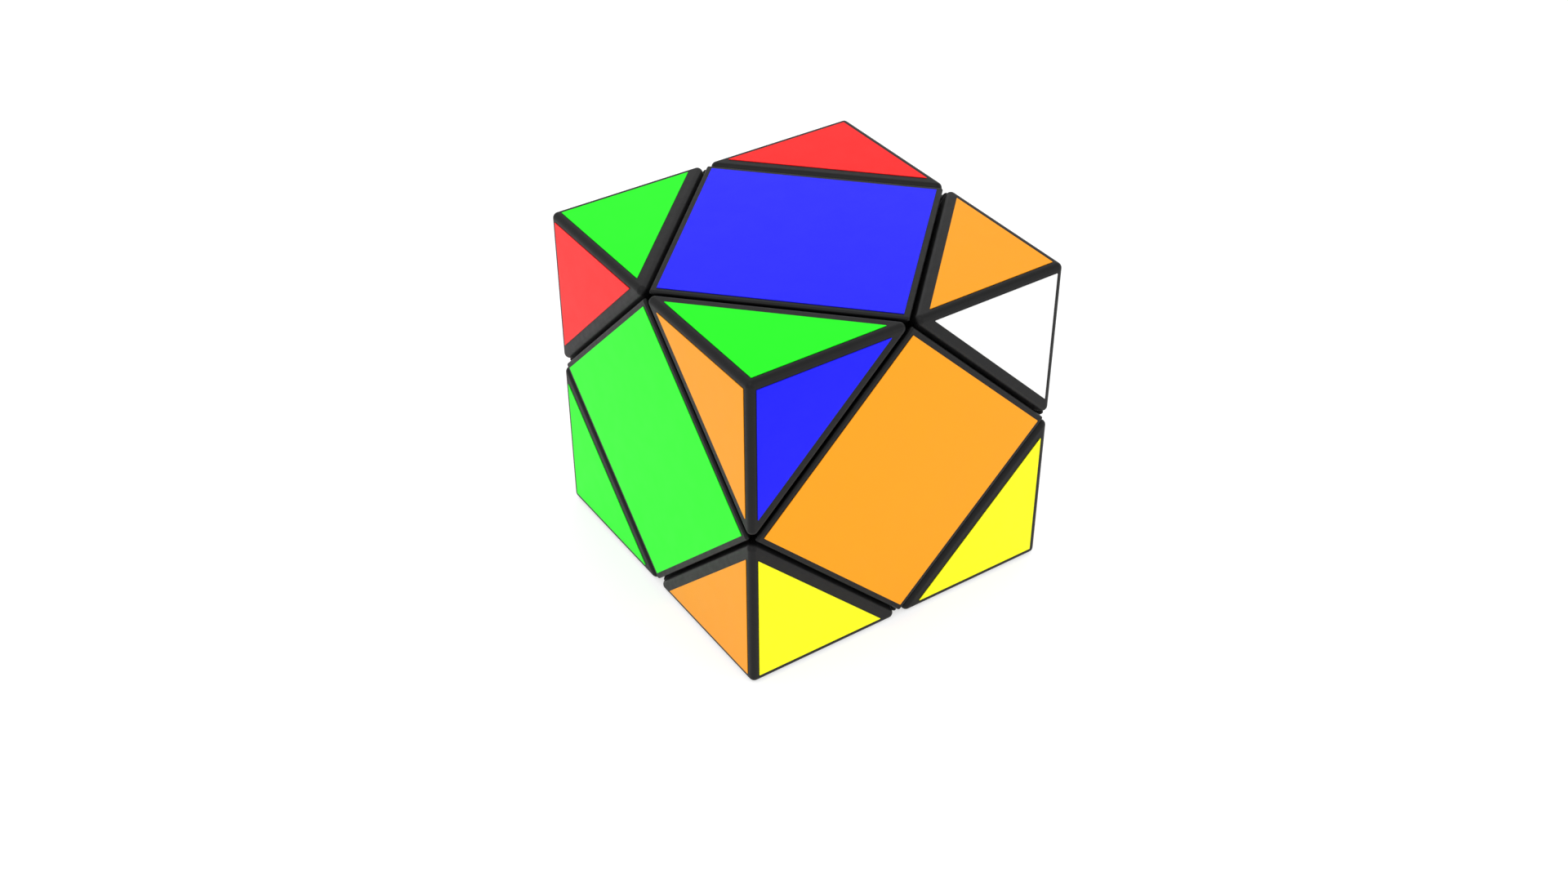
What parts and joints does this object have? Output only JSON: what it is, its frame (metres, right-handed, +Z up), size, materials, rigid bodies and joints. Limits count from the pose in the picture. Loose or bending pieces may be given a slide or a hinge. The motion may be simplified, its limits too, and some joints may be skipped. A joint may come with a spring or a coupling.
{
  "type": "corner-turning cube puzzle",
  "caption": "Cube puzzle whose halves turn about its body diagonals, with square and triangular coloured stickers on black interlocking pieces.",
  "frame": {"origin": "centre of the cube's footprint, on the surface it stands on", "axes": "+Z up through the cube; -Y out of the front face; -X out of the left face"},
  "size_m": [0.055, 0.055, 0.055],
  "materials": {
    "black_plastic": "satin injection-moulded ABS",
    "core_plastic": "satin injection-moulded ABS, natural white",
    "screw_steel": "zinc-plated steel",
    "spring_steel": "drawn spring wire",
    "sticker_blue": "satin vinyl film",
    "sticker_green": "satin vinyl film",
    "sticker_orange": "satin vinyl film",
    "sticker_red": "satin vinyl film",
    "sticker_white": "satin vinyl film",
    "sticker_yellow": "satin vinyl film"
  },
  "bodies": {
    "core": {"core": "core_plastic", "tension_screw_top_back_right": "screw_steel", "tension_screw_bottom_front_right": "screw_steel", "tension_screw_bottom_back_left": "screw_steel", "tension_screw_top_front_left": "screw_steel", "tension_spring_top_back_right": "spring_steel", "tension_spring_bottom_front_right": "spring_steel", "tension_spring_bottom_back_left": "spring_steel", "tension_spring_top_front_left": "spring_steel"},
    "core_corner_top_back_right": {"core_corner_top_back_right": "black_plastic"},
    "core_corner_bottom_front_right": {"core_corner_bottom_front_right": "black_plastic"},
    "core_corner_bottom_back_left": {"core_corner_bottom_back_left": "black_plastic"},
    "core_corner_top_front_left": {"core_corner_top_front_left": "black_plastic"},
    "corner_cap_top_back_right": {"corner_cap_top_back_right": "black_plastic", "sticker_top_at_back_right": "sticker_red", "sticker_back_at_top_right": "sticker_white", "sticker_right_at_top_back": "sticker_blue"},
    "corner_cap_bottom_front_right": {"corner_cap_bottom_front_right": "black_plastic", "sticker_bottom_at_front_right": "sticker_white", "sticker_front_at_bottom_right": "sticker_yellow", "sticker_right_at_bottom_front": "sticker_orange"},
    "corner_cap_bottom_back_left": {"corner_cap_bottom_back_left": "black_plastic", "sticker_bottom_at_back_left": "sticker_yellow", "sticker_back_at_bottom_left": "sticker_red", "sticker_left_at_bottom_back": "sticker_green"},
    "corner_cap_top_front_left": {"corner_cap_top_front_left": "black_plastic", "sticker_top_at_front_left": "sticker_green", "sticker_front_at_top_left": "sticker_blue", "sticker_left_at_top_front": "sticker_orange"},
    "centre_top": {"centre_top": "black_plastic", "sticker_top_centre": "sticker_blue"},
    "centre_bottom": {"centre_bottom": "black_plastic", "sticker_bottom_centre": "sticker_yellow"},
    "centre_front": {"centre_front": "black_plastic", "sticker_front_centre": "sticker_orange"},
    "centre_back": {"centre_back": "black_plastic", "sticker_back_centre": "sticker_red"},
    "centre_left": {"centre_left": "black_plastic", "sticker_left_centre": "sticker_green"},
    "centre_right": {"centre_right": "black_plastic", "sticker_right_centre": "sticker_white"},
    "free_corner_bottom_front_left": {"free_corner_bottom_front_left": "black_plastic", "sticker_bottom_at_front_left": "sticker_green", "sticker_front_at_bottom_left": "sticker_yellow", "sticker_left_at_bottom_front": "sticker_orange"},
    "free_corner_top_back_left": {"free_corner_top_back_left": "black_plastic", "sticker_top_at_back_left": "sticker_green", "sticker_back_at_top_left": "sticker_blue", "sticker_left_at_top_back": "sticker_red"},
    "free_corner_top_front_right": {"free_corner_top_front_right": "black_plastic", "sticker_top_at_front_right": "sticker_orange", "sticker_front_at_top_right": "sticker_white", "sticker_right_at_top_front": "sticker_blue"},
    "free_corner_bottom_back_right": {"free_corner_bottom_back_right": "black_plastic", "sticker_bottom_at_back_right": "sticker_yellow", "sticker_back_at_bottom_right": "sticker_red", "sticker_right_at_bottom_back": "sticker_white"}
  },
  "joints": [
    {"name": "layer_turn_top_front_left", "type": "hinge", "parent": "core", "child": "core_corner_top_front_left", "pos_m": [0, 0, 0.0275], "axis": [-0.5774, -0.5774, 0.5774], "continuous": true},
    {"name": "layer_turn_top_back_right", "type": "hinge", "parent": "core", "child": "core_corner_top_back_right", "pos_m": [0, 0, 0.0275], "axis": [0.5774, 0.5774, 0.5774], "range_deg": [-360, 360]},
    {"name": "layer_turn_bottom_front_right", "type": "hinge", "parent": "core", "child": "core_corner_bottom_front_right", "pos_m": [0, 0, 0.0275], "axis": [0.5774, -0.5774, -0.5774], "range_deg": [-360, 360]},
    {"name": "layer_turn_bottom_back_left", "type": "hinge", "parent": "core", "child": "core_corner_bottom_back_left", "pos_m": [0, 0, 0.0275], "axis": [-0.5774, 0.5774, -0.5774], "range_deg": [-360, 360]},
    {"name": "ride_centre_top_on_top_back_right", "type": "hinge", "parent": "core_corner_top_front_left", "child": "centre_top", "pos_m": [0, 0, 0.0275], "axis": [0.5774, 0.5774, 0.5774], "range_deg": [-360, 360]},
    {"name": "ride_centre_left_on_bottom_back_left", "type": "hinge", "parent": "core_corner_top_front_left", "child": "centre_left", "pos_m": [0, 0, 0.0275], "axis": [-0.5774, 0.5774, -0.5774], "range_deg": [-360, 360]},
    {"name": "ride_centre_front_on_bottom_front_right", "type": "hinge", "parent": "core_corner_top_front_left", "child": "centre_front", "pos_m": [0, 0, 0.0275], "axis": [0.5774, -0.5774, -0.5774], "range_deg": [-360, 360]},
    {"name": "ride_centre_right_on_bottom_front_right", "type": "hinge", "parent": "core_corner_top_back_right", "child": "centre_right", "pos_m": [0, 0, 0.0275], "axis": [0.5774, -0.5774, -0.5774], "range_deg": [-360, 360]},
    {"name": "ride_centre_back_on_top_back_right", "type": "hinge", "parent": "core_corner_bottom_back_left", "child": "centre_back", "pos_m": [0, 0, 0.0275], "axis": [0.5774, 0.5774, 0.5774], "range_deg": [-360, 360]},
    {"name": "ride_centre_bottom_on_bottom_back_left", "type": "hinge", "parent": "core_corner_bottom_front_right", "child": "centre_bottom", "pos_m": [0, 0, 0.0275], "axis": [-0.5774, 0.5774, -0.5774], "range_deg": [-360, 360]},
    {"name": "ride_free_corner_top_back_left_on_bottom_back_left", "type": "hinge", "parent": "centre_top", "child": "free_corner_top_back_left", "pos_m": [0, 0, 0.0275], "axis": [-0.5774, 0.5774, -0.5774], "range_deg": [-360, 360]},
    {"name": "ride_free_corner_bottom_front_left_on_bottom_front_right", "type": "hinge", "parent": "centre_left", "child": "free_corner_bottom_front_left", "pos_m": [0, 0, 0.0275], "axis": [0.5774, -0.5774, -0.5774], "range_deg": [-360, 360]},
    {"name": "ride_free_corner_top_front_right_on_top_back_right", "type": "hinge", "parent": "centre_front", "child": "free_corner_top_front_right", "pos_m": [0, 0, 0.0275], "axis": [0.5774, 0.5774, 0.5774], "range_deg": [-360, 360]},
    {"name": "ride_free_corner_bottom_back_right_on_bottom_back_left", "type": "hinge", "parent": "centre_right", "child": "free_corner_bottom_back_right", "pos_m": [0, 0, 0.0275], "axis": [-0.5774, 0.5774, -0.5774], "range_deg": [-360, 360]},
    {"name": "pull_off_cap_top_front_left", "type": "slide", "parent": "core_corner_top_front_left", "child": "corner_cap_top_front_left", "axis": [-0.5774, -0.5774, 0.5774], "range_m": [0, 0.02]},
    {"name": "pull_off_cap_top_back_right", "type": "slide", "parent": "core_corner_top_back_right", "child": "corner_cap_top_back_right", "axis": [0.5774, 0.5774, 0.5774], "range_m": [0, 0.02]},
    {"name": "pull_off_cap_bottom_front_right", "type": "slide", "parent": "core_corner_bottom_front_right", "child": "corner_cap_bottom_front_right", "axis": [0.5774, -0.5774, -0.5774], "range_m": [0, 0.02]},
    {"name": "pull_off_cap_bottom_back_left", "type": "slide", "parent": "core_corner_bottom_back_left", "child": "corner_cap_bottom_back_left", "axis": [-0.5774, 0.5774, -0.5774], "range_m": [0, 0.02]}
  ],
  "couplings": [
    {"joint": "ride_centre_top_on_top_back_right", "follows": "layer_turn_top_back_right", "ratio": 1},
    {"joint": "ride_centre_left_on_bottom_back_left", "follows": "layer_turn_bottom_back_left", "ratio": 1},
    {"joint": "ride_centre_front_on_bottom_front_right", "follows": "layer_turn_bottom_front_right", "ratio": 1},
    {"joint": "ride_centre_right_on_bottom_front_right", "follows": "layer_turn_bottom_front_right", "ratio": 1},
    {"joint": "ride_centre_back_on_top_back_right", "follows": "layer_turn_top_back_right", "ratio": 1},
    {"joint": "ride_centre_bottom_on_bottom_back_left", "follows": "layer_turn_bottom_back_left", "ratio": 1},
    {"joint": "ride_free_corner_top_back_left_on_bottom_back_left", "follows": "layer_turn_bottom_back_left", "ratio": 1},
    {"joint": "ride_free_corner_bottom_front_left_on_bottom_front_right", "follows": "layer_turn_bottom_front_right", "ratio": 1},
    {"joint": "ride_free_corner_top_front_right_on_top_back_right", "follows": "layer_turn_top_back_right", "ratio": 1},
    {"joint": "ride_free_corner_bottom_back_right_on_bottom_back_left", "follows": "layer_turn_bottom_back_left", "ratio": 1}
  ]
}
